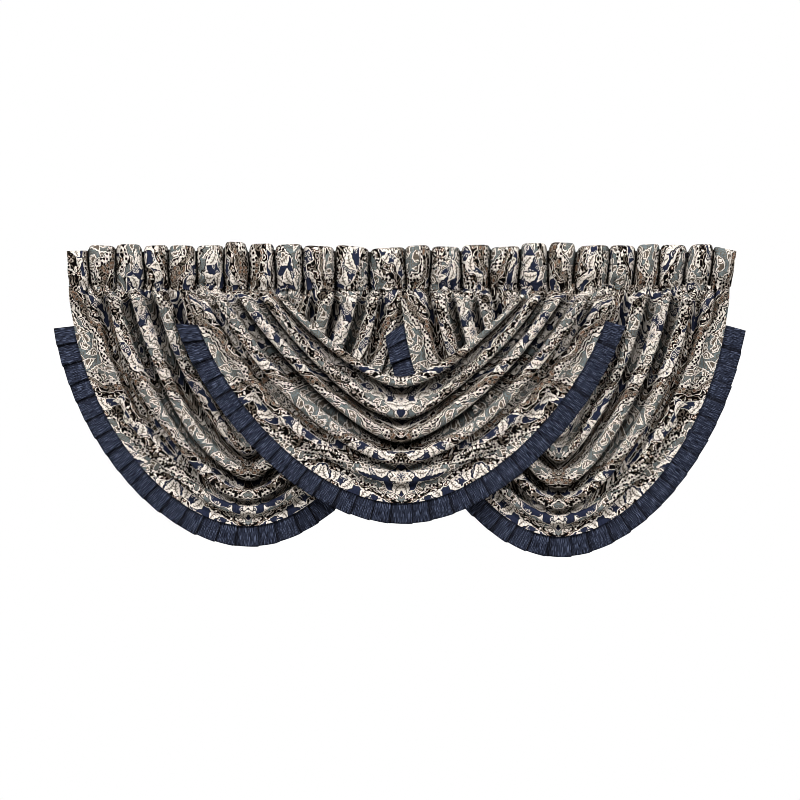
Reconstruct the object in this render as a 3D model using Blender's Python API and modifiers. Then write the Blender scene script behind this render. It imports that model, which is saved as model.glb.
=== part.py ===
"""A gathered swag drape: three overlapping swags hung from one rod pocket, each edged with a pleated ruffle.

Metres. +X runs along the rod, -Y faces the room and +Z is up.
The origin is the middle of the top edge, halfway through the pocket's depth.
"""

import math
from collections import namedtuple

import bmesh
import bpy
import numpy as np

MM = 0.001

# Cloth and seams
CLOTH = 1.8 * MM
RUFFLE_CLOTH = 1.2 * MM
CLEARANCE = 0.35 * MM
POCKET_HEIGHT = 76 * MM
SEAM_Z = -77 * MM
TAB_RISE = 10 * MM

# The rod pocket: half its depth at a pinch, how far a puff swells, and where its width begins
POCKET_HALF_DEPTH = 14.5 * MM
PUFF_SWELL = 8 * MM
POCKET_LEFT_X = -600 * MM
POCKET_LEAN = 5 * MM

# The swags lie one behind the other where they are sewn between the pocket's two walls
LAYER_STEP = CLOTH + CLEARANCE
WALL_AT_SEAM = 2 * LAYER_STEP

# How soon below the seam the folds and the swag's own layer reach their full depth
FOLD_RUN = 42 * MM
LAYER_RUN = 50 * MM

# The ruffle: width past the hem, how far it is sewn up behind it, and its knife pleats
RUFFLE_WIDTH = 37 * MM
RUFFLE_SEWN = 8 * MM
RUFFLE_TOP_Z = -133 * MM
PLEAT_PITCH = 25 * MM
PLEAT_STEP = 2.6 * MM
PLEAT_STEP_SEWN = 0.8 * MM
PLEAT_SKEW = 1.4 * MM
PLEAT_FOLD_AT = 0.9

STEPS_PER_ARM = 12
STEP_SPREAD = 1.25

# One puff of the pocket, left to right: its width, and how far its top stands above the pinches beside it
Puff = namedtuple("Puff", "width rise")
PUFFS = [
    Puff(38, 7), Puff(48, 11), Puff(52, 13), Puff(43, 11), Puff(51, 11), Puff(50, 11),
    Puff(43, 17), Puff(49, 14), Puff(50, 13), Puff(57, 10), Puff(62, 10), Puff(66, 7),
    Puff(43, 11), Puff(58, 9), Puff(51, 12), Puff(53, 9), Puff(53, 15), Puff(47, 16),
    Puff(62, 11), Puff(47, 11), Puff(45, 13), Puff(47, 12), Puff(47, 13), Puff(41, 7),
]

# The front half of the pocket's section at a pinch, up from its edge: share of the half depth, or None
# where it is sewn to the swags, its height, and how much of the puff's swell and rise it takes
Wall = namedtuple("Wall", "depth z swell rise")
POCKET_FRONT = [
    Wall(None, -76, 0.00, 0.0),
    Wall(None, -67, 0.00, 0.0),
    Wall(1.00, -52, 0.75, 0.0),
    Wall(1.00, -25, 1.00, 0.4),
    Wall(0.55, -13, 0.70, 1.0),
]
# Where the section is drawn across one puff, and how far it has swelled there
PUFF_STATIONS = [(0.0, 0.0), (0.16, 0.8), (0.5, 1.0), (0.84, 0.8)]

# One fold of a swag, from the open cowl at the top to the hem: half its width where it leaves the heading,
# its drop at the middle, the shares that set its curve, and how far its crest and the hollow under it
# stand in front of the swag's own layer, on the arms and in the middle
Fold = namedtuple("Fold", "out drop shoulder_out shoulder_drop belly crest_arm crest_mid hollow_arm hollow_mid")
CENTRE_FOLDS = [
    Fold(227, 168, 0.83, 0.33, 0.27, 15, 18, 2, 3),
    Fold(252, 222, 0.83, 0.36, 0.28, 20, 16, 0, 3),
    Fold(290, 264, 0.85, 0.31, 0.29, 23, 20, 0, 0),
    Fold(333, 304, 0.87, 0.36, 0.34, 23, 22, 0, 2),
    Fold(360, 337, 0.90, 0.40, 0.38, 13, 18, 9, 4),
    Fold(380, 381, 0.93, 0.445, 0.43, 8, 9, 8, 9),
]
SIDE_FOLDS = [
    Fold(66, 212, 0.86, 0.36, 0.26, 11, 13, 1, 2),
    Fold(110, 254, 0.86, 0.37, 0.26, 12, 14, 1, 2),
    Fold(153, 295, 0.89, 0.42, 0.26, 17, 16, 0, 1),
    Fold(196, 342, 0.91, 0.44, 0.30, 18, 18, 0, 0),
    Fold(238, 381, 0.93, 0.43, 0.36, 18, 18, 0, 1),
    Fold(275, 408, 0.97, 0.45, 0.44, 9, 12, 6, 4),
    Fold(310, 436, 1.00, 0.47, 0.49, 6, 7, 6, 7),
]

# The section from one crest down to the next: share of the way across, and share of the fall or rise
Turn = namedtuple("Turn", "across stand")
FALL = [Turn(0.0, 1.0), Turn(0.17, 0.66), Turn(0.18, 0.14), Turn(0.34, 0.0)]
RISE = [Turn(0.68, 0.38)]
# The cowl's rolled lip: where it lies when rolled and when laid out flat at the heading
Lip = namedtuple("Lip", "rolled flat stand")
LIP = [Lip(0.13, -0.30, -0.12), Lip(-0.08, -0.20, 0.12), Lip(-0.20, -0.10, 0.60)]

# One swag: its middle, how far its arms and drop depart from the table, its layer at the seam, from 1 at
# the back to -1 at the front, and the depth of its layer below
Swag = namedtuple("Swag", "side middle_x left_reach right_reach drop seam_layer layer_y folds")
SWAGS = [
    Swag("left", -275, 1.02, 0.96, 0.98, 1, 10, SIDE_FOLDS),
    Swag("right", 283, 0.905, 0.987, 1.022, 0, -3, SIDE_FOLDS),
    Swag("centre", 0, 1.0, 1.0, 1.0, -1, -27.5, CENTRE_FOLDS),
]

FINISHES = {
    "jacquard": ((0.30, 0.26, 0.21, 1.0), 0.85),
    "navy_ruffle": ((0.035, 0.045, 0.09, 1.0), 0.9),
}


def clear_scene():
    for thing in list(bpy.data.objects):
        bpy.data.objects.remove(thing)


def finish_for(name):
    """A plain cloth finish, made once and shared."""
    if name in bpy.data.materials:
        return bpy.data.materials[name]
    colour, roughness = FINISHES[name]
    material = bpy.data.materials.new(name)
    material.use_nodes = True
    shader = material.node_tree.nodes["Principled BSDF"]
    shader.inputs["Base Color"].default_value = colour
    shader.inputs["Roughness"].default_value = roughness
    shader.inputs["Metallic"].default_value = 0.0
    return material


def smooth_step(value):
    value = min(1.0, max(0.0, value))
    return value * value * (3 - 2 * value)


def mix(a, b, share):
    return a + (b - a) * share


def cloth_from_grid(name, grid, thickness, finish, collection):
    """Makes a closed sheet of cloth from rows of points on its middle surface."""
    rows, columns = len(grid), len(grid[0])
    shape = bmesh.new()
    points = [[shape.verts.new(point) for point in row] for row in grid]
    for r in range(rows - 1):
        for c in range(columns - 1):
            shape.faces.new((points[r][c], points[r][c + 1], points[r + 1][c + 1], points[r + 1][c]))
    bmesh.ops.recalc_face_normals(shape, faces=shape.faces)
    mesh = bpy.data.meshes.new(name)
    shape.to_mesh(mesh)
    shape.free()
    mesh.shade_smooth()
    mesh.materials.append(finish_for(finish))
    sheet = bpy.data.objects.new(name, mesh)
    collection.objects.link(sheet)
    wall = sheet.modifiers.new("cloth thickness", "SOLIDIFY")
    wall.thickness = thickness
    wall.offset = 0.0
    return sheet


def pocket_stations():
    """Each place along the heading as x, the share of swell there and the rise of the puff around it."""
    x = POCKET_LEFT_X
    stations = []
    for puff in PUFFS:
        width = puff.width * MM
        for share, swell in PUFF_STATIONS:
            stations.append((x + share * width, swell, puff.rise * MM))
        x += width
    stations.append((x, 0.0, PUFFS[-1].rise * MM))
    return stations


def pocket_point(wall, x, swell, rise):
    """One point on the pocket's front; the heading draws in a little towards its lower edge."""
    z = wall.z * MM + swell * rise * wall.rise
    if wall.depth is None:
        y = -WALL_AT_SEAM
    else:
        y = -wall.depth * POCKET_HALF_DEPTH - swell * wall.swell * PUFF_SWELL
    lean = POCKET_LEAN * x / POCKET_LEFT_X
    return (x + lean * z / POCKET_HEIGHT, y, z)


def make_pocket(collection):
    """The rod pocket: one strip folded over, gathered into puffs and open at both ends."""
    grid = []
    for x, swell, rise in pocket_stations():
        front = [pocket_point(wall, x, swell, rise) for wall in POCKET_FRONT]
        back = [(px, -py, pz) for px, py, pz in reversed(front)]
        grid.append(front + back)
    return cloth_from_grid("rod_pocket", grid, CLOTH, "jacquard", collection)


def between_folds(folds, place):
    """The fold at any place between two rows of the table, as a smooth blend of its neighbours."""
    if place <= 0:
        return Fold(*(mix(a, b, place) for a, b in zip(folds[0], folds[1])))
    last = len(folds) - 1
    index = min(last - 1, math.floor(place))
    share = place - index
    before, after = folds[max(0, index - 1)], folds[min(last, index + 2)]
    blended = []
    for a, b, c, d in zip(before, folds[index], folds[index + 1], after):
        slope_b, slope_c = (c - a) / 2, (d - b) / 2
        blended.append(
            b
            + slope_b * share
            + (3 * (c - b) - 2 * slope_b - slope_c) * share**2
            + (2 * (b - c) + slope_b + slope_c) * share**3
        )
    return Fold(*blended)


def hang_of(fold, reach, drop, t):
    """Where a fold hangs, from its swag's middle and the seam. t runs from the heading to the middle."""
    out = fold.out * reach
    fall = fold.drop * drop
    sideways = (out, out * fold.shoulder_out, out * fold.belly, 0.0)
    downward = (0.0, fall * fold.shoulder_drop, fall, fall)
    weights = ((1 - t) ** 3, 3 * t * (1 - t) ** 2, 3 * t**2 * (1 - t), t**3)
    across = sum(w * p for w, p in zip(weights, sideways)) * MM
    down = sum(w * p for w, p in zip(weights, downward)) * MM
    return across, down


def fold_section(folds):
    """Every line of the sheet from the lip to the hem: its place when folded and when laid flat at the
    heading, the fold it belongs to, and its stand between that fold's hollow (0) and a crest (1)."""
    lines = [(lip.rolled, lip.flat, 0, lip.stand, "fall") for lip in LIP]
    for index in range(len(folds) - 1):
        for turn in FALL:
            lines.append((index + turn.across, index + turn.across, index, turn.stand, "fall"))
        for turn in RISE:
            lines.append((index + turn.across, index + turn.across, index, turn.stand, "rise"))
    last = len(folds) - 1
    lines.append((last, last, last - 1, 1.0, "rise"))
    return lines


def swag_point(swag, line, side, t):
    """One point of a swag's middle surface. side is -1 on the left arm and 1 on the right."""
    rolled, flat, index, stand, part = line
    reach = swag.left_reach if side < 0 else swag.right_reach
    trial = between_folds(swag.folds, rolled)
    unrolled = smooth_step(hang_of(trial, reach, swag.drop, t)[1] / FOLD_RUN)
    place = mix(flat, rolled, unrolled)
    across, down = hang_of(between_folds(swag.folds, place), reach, swag.drop, t)
    fold = swag.folds[index]
    crest_fold = swag.folds[index + 1] if part == "rise" else fold
    toward_middle = smooth_step(t)
    hollow = mix(fold.hollow_arm, fold.hollow_mid, toward_middle)
    crest = mix(crest_fold.crest_arm, crest_fold.crest_mid, toward_middle)
    forward = mix(hollow, crest, stand) * smooth_step(down / FOLD_RUN)
    layer = mix(swag.seam_layer * LAYER_STEP, swag.layer_y * MM, smooth_step(down / LAYER_RUN))
    return (swag.middle_x * MM + side * across, layer - forward * MM, SEAM_Z - down)


def swag_row(swag, line):
    """One line of a swag from its left tab in the pocket, down round the swag, and up to its right tab."""
    steps = [(i / STEPS_PER_ARM) ** STEP_SPREAD for i in range(STEPS_PER_ARM + 1)]
    left = [swag_point(swag, line, -1, t) for t in steps]
    right = [swag_point(swag, line, 1, t) for t in reversed(steps[:-1])]
    row = left + right
    for end in (0, -1):
        x, y, z = row[end]
        tab = (x, y, z + TAB_RISE)
        row = [tab] + row if end == 0 else row + [tab]
    return row


def make_swag(swag, collection):
    grid = [swag_row(swag, line) for line in fold_section(swag.folds)]
    make_ruffle(swag, grid, collection)
    return cloth_from_grid(f"swag_{swag.side}", grid, CLOTH, "jacquard", collection)


def hem_stations(grid):
    """The hem below the ruffle's ends: points on its edge and one line in, and the run along the edge."""
    edge, inside = (np.array(grid[k]) for k in (-1, -2))
    below = np.where(edge[:, 2] <= RUFFLE_TOP_Z)[0]
    first, last = below[0], below[-1]
    kept = slice(first - 1, last + 2)
    edge, inside = edge[kept], inside[kept]
    for end, neighbour in ((0, 1), (-1, -2)):
        share = (RUFFLE_TOP_Z - edge[end][2]) / (edge[neighbour][2] - edge[end][2])
        edge[end] = mix(edge[end], edge[neighbour], share)
        inside[end] = mix(inside[end], inside[neighbour], share)
    run = np.concatenate([[0], np.cumsum(np.linalg.norm(np.diff(edge, axis=0), axis=1))])
    return edge, inside, run


def at_run(points, run, along):
    return np.array([np.interp(along, run, points[:, axis]) for axis in range(3)])


def make_ruffle(swag, grid, collection):
    """Knife pleats sewn up behind the hem, each one stepping forward to its fold and back under the next."""
    edge, inside, run = hem_stations(grid)
    length = run[-1]
    pleats = round(length / PLEAT_PITCH)
    pitch = length / pleats
    behind = (CLOTH + RUFFLE_CLOTH) / 2 + CLEARANCE * 2
    stations = [(p + share, share) for p in range(pleats) for share in (0.0, PLEAT_FOLD_AT)]
    stations.append((pleats, 0.0))
    columns = []
    for place, share in stations:
        along = place * pitch
        here = at_run(edge, run, along)
        within = at_run(inside, run, along)
        ahead = at_run(edge, run, min(length, along + pitch)) - at_run(edge, run, max(0.0, along - pitch))
        outward = np.array([ahead[2], 0.0, -ahead[0]])
        outward /= np.linalg.norm(outward)
        inward = within - here
        inward *= RUFFLE_SEWN / np.linalg.norm(inward)
        folded = share / PLEAT_FOLD_AT
        sewn_back = np.array([0.0, behind + (1 - folded) * PLEAT_STEP_SEWN, 0.0])
        free_back = np.array([0.0, behind + (1 - folded) * PLEAT_STEP, 0.0])
        reach = RUFFLE_WIDTH + (folded - 0.5) * PLEAT_SKEW
        columns.append([here + inward + sewn_back, here + sewn_back, here + outward * reach + free_back])
    rows = [[column[k] for column in columns] for k in range(3)]
    return cloth_from_grid(f"ruffle_{swag.side}", rows, RUFFLE_CLOTH, "navy_ruffle", collection)


def main():
    clear_scene()
    drape = bpy.data.collections.new("swag drape")
    bpy.context.scene.collection.children.link(drape)
    make_pocket(drape)
    for swag in SWAGS:
        make_swag(swag, drape)


main()
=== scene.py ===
"""A rod-pocket valance of three overlapping swags in woven jacquard, each edged with a navy ruffle.

Metres, in the frame's own axes: +X along the rod, -Y towards the room, +Z up.
"""

import math
from collections import namedtuple

import bpy
import numpy as np
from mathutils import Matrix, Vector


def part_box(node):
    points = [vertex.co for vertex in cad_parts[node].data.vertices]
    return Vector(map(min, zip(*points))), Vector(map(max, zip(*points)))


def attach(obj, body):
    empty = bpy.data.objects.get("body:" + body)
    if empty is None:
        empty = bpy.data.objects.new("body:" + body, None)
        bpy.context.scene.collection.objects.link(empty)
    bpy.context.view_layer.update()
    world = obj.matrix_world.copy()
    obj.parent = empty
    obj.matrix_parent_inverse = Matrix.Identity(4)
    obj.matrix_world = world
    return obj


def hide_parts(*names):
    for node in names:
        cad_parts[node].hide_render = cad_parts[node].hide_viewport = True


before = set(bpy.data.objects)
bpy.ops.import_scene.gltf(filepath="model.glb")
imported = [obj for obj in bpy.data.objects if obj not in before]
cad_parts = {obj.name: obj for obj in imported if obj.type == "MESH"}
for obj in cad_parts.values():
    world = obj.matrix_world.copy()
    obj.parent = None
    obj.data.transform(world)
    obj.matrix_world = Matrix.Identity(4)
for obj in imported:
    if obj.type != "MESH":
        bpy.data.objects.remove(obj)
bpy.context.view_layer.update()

MM = 0.001

# The frame's own heights and widths: the pocket's ends and its seam lie a little inside its box
POCKET_LOW, POCKET_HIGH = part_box("rod_pocket")
POCKET_LEFT_X = POCKET_LOW[0] + 4.2 * MM
POCKET_WIDTH = POCKET_HIGH[0] - 4.5 * MM - POCKET_LEFT_X
SEAM_Z = POCKET_LOW[2] - 1 * MM

# Cloth, the step from layer to layer at the seam, the pocket's walls there, and the swags' tabs in it
SWAG_CLOTH = 1.2 * MM
RUFFLE_CLOTH = 0.7 * MM
LAYER_STEP = 2.15 * MM
WALL_AT_SEAM = LAYER_STEP + 1.3 * MM
TAB_RISE = 9 * MM
# Past the centre swag's ends the side swags come forward to the front layer at the seam
CENTRE_END_X = 0.39
CENTRE_END_RUN = 40 * MM

# How soon below the seam the folds and each swag's own layer reach their full depth
FOLD_RUN = 27 * MM
LAYER_RUN = 42 * MM
# How much prouder than the tables the crests stand: on a side swag behind the centre one, on its open
# outer arm, and on the centre swag; where the open arms begin; and how much deeper, in mm, the hollows are
CREST_GAIN = 1.18
OPEN_GAIN = 1.55
CENTRE_GAIN = 1.12
OPEN_FROM_X = 0.40
OPEN_RUN = 0.1
HOLLOW_SINK = 2
# How far a fold's line sways between its neighbours, how unevenly its crest stands, and where below the
# seam, in mm, the creases begin
SWAY = 0.085
UNEVENNESS = 0.10
CREASE_FROM = 12
CREASE_RUN = 30

# How steeply the folds climb the flat cut on the arms, in degrees, and how far from the middle they do so
FOLD_TILT = 33
FOLD_TILT_RUN = 0.24

# Gathers just below the seam: how far the cloth puffs out, how the pinches go on into the swags, and how
# soon a gather turns from the place above it to its own fold
SEAM_PUFF = 5.5 * MM
SEAM_PUFF_AT = 14 * MM
SEAM_SPREAD = 3.5 * MM
GATHER_DEPTH = 6 * MM
GATHER_RUN = 42 * MM
GATHER_TURN = 18 * MM
# The finest tucks right at the seam, and how far gathers and tucks pull the seam itself up or down
PUCKER_PITCH = 9.5 * MM
PUCKER_DEPTH = 1.5 * MM
PUCKER_RUN = 13 * MM
GATHER_PULL = 4.2 * MM
FINE_PULL = 1.6 * MM
FINE_PULL_WAVE = 7.3 * MM
PULL_RUN = 14 * MM

# Pocket: half its depth, how far a puff swells, how square the puff is, and its mesh steps
POCKET_HEIGHT = 76 * MM
POCKET_HALF_DEPTH = 11 * MM
PUFF_SWELL = 12 * MM
PUFF_SQUARENESS = 3.6
PUFF_STEPS = 18
# The pocket's open ends stay as swollen as a puff is this far on the way from its middle to a pinch
OPEN_END_AT = 0.6
# The pinch, in mm, that takes away a puff's whole rise at its edge, and how much of its width stays shut
DEEPEST_NOTCH = 9
NOTCH_WIDTH = 0.6
# How far a pinch strays sideways, the cloth hidden in it, and how far the ends lean out towards the top
PINCH_WANDER = 2.4 * MM
PINCHED_CLOTH = 22 * MM
POCKET_LEANS = (4.5 * MM, 10.5 * MM)
# How soon a puff's foot has sunk, how far below the top edge the gathers begin, and how soon they are full
FOOT_RUN = 30 * MM
GATHERS_FROM = 44 * MM
GATHERS_RUN = 26 * MM
# Tucks and crumples on the pocket
TUCK_DEPTH = 1.8 * MM
PUFF_CRUMPLE = 1.3 * MM
PUFF_STRAY = 1.2 * MM

# Painted shade: how dark the cloth's colour is painted at the bottom of its folds. The full painted shade
# lies right under a crest, and from here to there on the way to the next crest it fades to RISE_SHADE.
FOLD_SHADE = 0.95
FOLD_SHADE_POWER = 1.5
RISE_SHADE = 0.5
RISE_SHADE_FROM = 0.30
RISE_SHADE_TO = 0.55
# A fold this deep, in mm, has the full shade
DEEP_FOLD = 19
# The same painted shade between the gathers at the seam: its most, how far it reaches, and how it grows in a
# pinch
SEAM_SHADE = 0.95
SEAM_SHADE_RUN = 20 * MM
SEAM_SHADE_LEVEL = 0.25
SEAM_SHADE_GAIN = 0.75

# Mesh steps: along an arm, how they crowd towards the heading, and down each turn of folds and pocket
ARM_STEPS = 112
STEP_SPREAD = 1.25
ROWS_PER_TURN = 4
WALL_STEPS = 6

# Ruffle: its width past the hem, how far it is sewn up behind it, the gap there, and its mesh steps
RUFFLE_WIDTH = 37 * MM
RUFFLE_SEWN = 8 * MM
RUFFLE_BEHIND = 3.2 * MM
RUFFLE_ROWS = 9
RUFFLE_STEP = 1.5 * MM
# How much cloth the pleats take for each metre of hem, which sets the weave's scale
PLEAT_FULLNESS = 1.6
# One knife pleat: its pitch, the share of it that tucks under, how far its fold lifts and flares, and how
# far its place and its lean stray
PLEAT_SIZES = {
    "Pitch": 33 * MM,
    "Tuck": 0.30,
    "Lift": 4.6 * MM,
    "Flare": 0.9 * MM,
    "Wander": 9 * MM,
    "Lean": 1.8 * MM,
}

# Camera: the photograph's width at the valance, and the middle of its view
VIEW_WIDTH = 1.44
VIEW_MIDDLE = (-0.0018, 0.0, -0.2772)
LENS = 200
SENSOR = 36
# How brightly the white room lights the cloth; the camera sees it as plain white
ROOM_LIGHT = 0.03

# One puff of the pocket, left to right, in mm: its width, how far its top stands above the pinches beside
# it, how much higher its right end is than its left, the width of the pinch on its right, and how far above
# the seam it has sunk into gathers
Puff = namedtuple("Puff", "width rise slant gap foot")
PUFFS = [
    Puff(38, 2, 1, 6, 6), Puff(48, 11, -2, 5, 9), Puff(52, 13, 0, 9, 0), Puff(43, 11, 2, 6, 7),
    Puff(51, 11, -1, 8, 4), Puff(50, 11, 1, 5, 8), Puff(43, 17, -2, 9, 0), Puff(49, 14, 1, 7, 1),
    Puff(50, 13, 2, 5, 3), Puff(57, 10, -3, 8, 11), Puff(62, 10, -6, 9, 2), Puff(66, 7, 3, 5, 14),
    Puff(43, 11, 2, 7, 13), Puff(58, 9, -1, 8, 7), Puff(51, 12, 1, 5, 11), Puff(53, 9, 3, 6, 9),
    Puff(53, 15, 1, 8, 0), Puff(47, 16, -2, 9, 2), Puff(62, 11, 2, 5, 13), Puff(47, 11, -1, 8, 15),
    Puff(45, 13, 2, 6, 5), Puff(47, 12, -1, 9, 1), Puff(47, 13, 1, 6, 12), Puff(41, 6, -9, 8, 14),
]

# The front half of the pocket's section at a pinch, up from its edge: share of the half depth, or None
# where it is sewn to the swags, its height, and how much of the puff's swell and rise it takes
Wall = namedtuple("Wall", "depth z swell rise")
POCKET_FRONT = [
    Wall(None, -76, 0.02, 0.0),
    Wall(None, -71, 0.14, 0.0),
    Wall(0.62, -61, 0.45, 0.0),
    Wall(0.85, -49, 0.80, 0.0),
    Wall(0.95, -34, 1.00, 0.1),
    Wall(0.85, -20, 0.95, 0.6),
    Wall(0.45, -12, 0.60, 1.0),
]
# The row below which a puff's foot sinks
WAIST_ROW = 4

# One fold of a swag, from the open cowl at the top to the hem: half its width where it leaves the heading,
# its drop at the middle, the shares that set its curve, and how far its crest and the hollow under it
# stand in front of the swag's own layer, on the arms and in the middle
Fold = namedtuple(
    "Fold", "out drop shoulder_out shoulder_drop belly crest_arm crest_mid hollow_arm hollow_mid"
)
CENTRE_FOLDS = [
    Fold(227, 168, 0.83, 0.33, 0.27, 15, 21, 2, 1),
    Fold(252, 222, 0.83, 0.36, 0.28, 20, 19, 0, 2),
    Fold(290, 264, 0.85, 0.31, 0.29, 23, 20, 0, 0),
    Fold(333, 304, 0.87, 0.36, 0.34, 23, 19, 0, 4),
    Fold(360, 337, 0.90, 0.40, 0.38, 13, 14, 9, 6),
    Fold(380, 381, 0.93, 0.445, 0.43, 8, 10, 8, 9),
]
SIDE_FOLDS = [
    Fold(66, 212, 0.86, 0.36, 0.26, 11, 13, 1, 2),
    Fold(110, 254, 0.86, 0.37, 0.26, 12, 14, 1, 2),
    Fold(153, 295, 0.89, 0.42, 0.26, 17, 16, 0, 1),
    Fold(196, 342, 0.91, 0.44, 0.30, 18, 18, 0, 0),
    Fold(238, 381, 0.93, 0.43, 0.36, 18, 18, 0, 1),
    Fold(275, 408, 0.97, 0.45, 0.44, 9, 12, 6, 4),
    Fold(310, 436, 1.00, 0.47, 0.49, 6, 7, 6, 7),
]

# The section from one crest down to the next: share of the way across, and share of the fall or rise
Turn = namedtuple("Turn", "across stand")
FALL = [Turn(0.0, 1.0), Turn(0.17, 0.84), Turn(0.18, 0.36), Turn(0.25, 0.02)]
RISE = [Turn(0.48, -0.04), Turn(0.64, 0.30), Turn(0.76, 0.84)]
# The cowl's rolled lip: where it lies when rolled and when laid out flat at the heading
Lip = namedtuple("Lip", "rolled flat stand")
LIP = [Lip(0.13, -0.30, -0.12), Lip(-0.08, -0.20, 0.12), Lip(-0.20, -0.10, 0.60)]

# One crease: the fold place where it starts and ends, how far along the arm from heading
# (0) to middle (1), its height in mm, a trough if less than 0, and its half width in folds.
# Side is -1 for the left arm and 1 for the right.
Crease = namedtuple("Crease", "side start end from_t to_t height half_width")
CENTRE_CREASES = [
    Crease(-1, 0.45, 0.62, 0.05, 0.50, 2.6, 0.08),
    Crease(-1, 1.55, 1.50, 0.04, 0.38, 3.2, 0.07),
    Crease(-1, 2.50, 2.62, 0.06, 0.56, 2.4, 0.08),
    Crease(-1, 3.30, 3.42, 0.05, 0.34, 2.8, 0.09),
    Crease(-1, 4.20, 4.45, 0.05, 0.42, 2.2, 0.12),
    Crease(-1, 4.70, 4.62, 0.10, 0.60, -1.6, 0.12),
    Crease(1, 0.50, 0.55, 0.05, 0.42, 3.0, 0.08),
    Crease(1, 1.40, 1.58, 0.05, 0.52, 2.5, 0.07),
    Crease(1, 2.42, 2.50, 0.04, 0.36, 3.0, 0.08),
    Crease(1, 3.45, 3.55, 0.06, 0.50, 2.2, 0.10),
    Crease(1, 4.35, 4.55, 0.05, 0.36, 2.6, 0.12),
    Crease(1, 4.80, 4.70, 0.20, 0.72, -1.4, 0.12),
]
SIDE_CREASES = [
    Crease(-1, 0.55, 0.50, 0.04, 0.45, 2.6, 0.08),
    Crease(-1, 2.55, 2.48, 0.05, 0.42, 2.4, 0.08),
    Crease(-1, 3.42, 3.60, 0.04, 0.50, 3.0, 0.08),
    Crease(-1, 4.50, 4.36, 0.06, 0.46, 2.4, 0.10),
    Crease(-1, 5.40, 5.60, 0.04, 0.30, 2.6, 0.14),
    Crease(-1, 5.62, 5.40, 0.25, 0.70, -1.5, 0.14),
    Crease(1, 1.45, 1.52, 0.04, 0.44, 3.0, 0.08),
    Crease(1, 2.48, 2.60, 0.05, 0.40, 2.6, 0.08),
    Crease(1, 3.55, 3.42, 0.05, 0.55, 2.4, 0.08),
    Crease(1, 4.42, 4.55, 0.04, 0.38, 3.0, 0.10),
    Crease(1, 5.30, 5.50, 0.05, 0.44, 2.2, 0.14),
    Crease(1, 5.65, 5.50, 0.30, 0.75, -1.4, 0.14),
]

# One swag: its middle, how far its arms and drop depart from the table, its layer at the seam, from 1 at
# the back to -1 at the front, the depth of its layer below, its folds and creases, and its random seed
Swag = namedtuple("Swag", "side middle_x left_reach right_reach drop seam_layer layer_y folds creases seed")
SWAGS = [
    Swag("left", -275, 1.028, 0.96, 0.98, 1, 10, SIDE_FOLDS, SIDE_CREASES, 11),
    Swag("right", 283, 0.905, 0.982, 1.022, 0, -3, SIDE_FOLDS, SIDE_CREASES, 23),
    Swag("centre", 0, 1.0, 1.0, 1.011, -1, -26.8, CENTRE_FOLDS, CENTRE_CREASES, 37),
]

# A ruffle's two cut ends, in mm: how far below the seam its sewn corner is, and how much higher up the hem
# its free corner lies than a square cut would put it. The cut's slant fades out along END_RUN.
End = namedtuple("End", "drop slant")
RUFFLE_ENDS = {
    "left": (End(64.5, 2), End(64.5, 0)),
    "right": (End(57.0, -20), End(72.0, -4.5)),
    "centre": (End(64.0, 17), End(58.5, 4.5)),
}
END_RUN = 40 * MM

# Yarn, cloth and floor colours, as 8-bit sRGB
YARN = {
    "cream": (230, 221, 211),
    "taupe": (163, 151, 139),
    "drab": (96, 86, 76),
    "slate": (108, 117, 118),
    "navy": (38, 43, 62),
    "black": (6, 4, 4),
    "rust": (116, 88, 70),
    "ruffle": (45, 50, 66),
    "ruffle_light": (86, 94, 116),
    "ruffle_dark": (17, 19, 28),
    "floor": (236, 236, 234),
}


def smooth_step(value):
    value = np.clip(value, 0.0, 1.0)
    return value * value * (3 - 2 * value)


def mix(low, high, share):
    return low + (high - low) * share


def linear(name):
    """A named colour as the linear values that Blender's sockets hold."""
    shares = np.array(YARN[name]) / 255
    values = np.where(shares <= 0.04045, shares / 12.92, ((shares + 0.055) / 1.055) ** 2.4)
    return (*values.tolist(), 1.0)


def spline(values, places):
    """A smooth curve through evenly numbered values, read at any places between them."""
    values = np.asarray(values, float)
    last = len(values) - 1
    places = np.asarray(places, float)
    index = np.clip(np.floor(places).astype(int), 0, last - 1)
    share = places - index
    if values.ndim > 1:
        share = share[..., None]
    before, here = values[np.maximum(index - 1, 0)], values[index]
    after, beyond = values[index + 1], values[np.minimum(index + 2, last)]
    slope, next_slope = (after - before) / 2, (beyond - here) / 2
    bent = (
        here
        + slope * share
        + (3 * (after - here) - 2 * slope - next_slope) * share**2
        + (2 * (here - after) + slope + next_slope) * share**3
    )
    outside = places < 0
    if values.ndim > 1:
        outside = outside[..., None]
    return np.where(outside, here + (after - here) * share, bent)


def ripple(first, second, wavelengths, seed, waves=7):
    """Soft, even crumple from -1 to 1: a few crossed waves, about as long as given along each direction."""
    chance = np.random.default_rng(seed)
    total = np.zeros(np.broadcast(first, second).shape)
    for _ in range(waves):
        a, b = chance.uniform(0.6, 1.5, 2) * chance.choice([-1, 1], 2)
        phase = chance.uniform(0, 2 * math.pi)
        total += np.sin(2 * math.pi * (a * first / wavelengths[0] + b * second / wavelengths[1]) + phase)
    return total / math.sqrt(waves) / 1.4


def pinches():
    """Where the pocket is pinched between its puffs."""
    widths = np.array([puff.width for puff in PUFFS]) * MM
    edges = np.concatenate([[0.0], np.cumsum(widths)])
    return POCKET_LEFT_X + edges * POCKET_WIDTH / edges[-1]


PINCH_X = pinches()


def puff_share(x):
    """How far x lies across its puff, and which puff that is."""
    index = np.clip(np.searchsorted(PINCH_X, x, side="right") - 1, 0, len(PUFFS) - 1)
    share = (x - PINCH_X[index]) / (PINCH_X[index + 1] - PINCH_X[index])
    return np.clip(share, 0.0, 1.0), index


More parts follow.
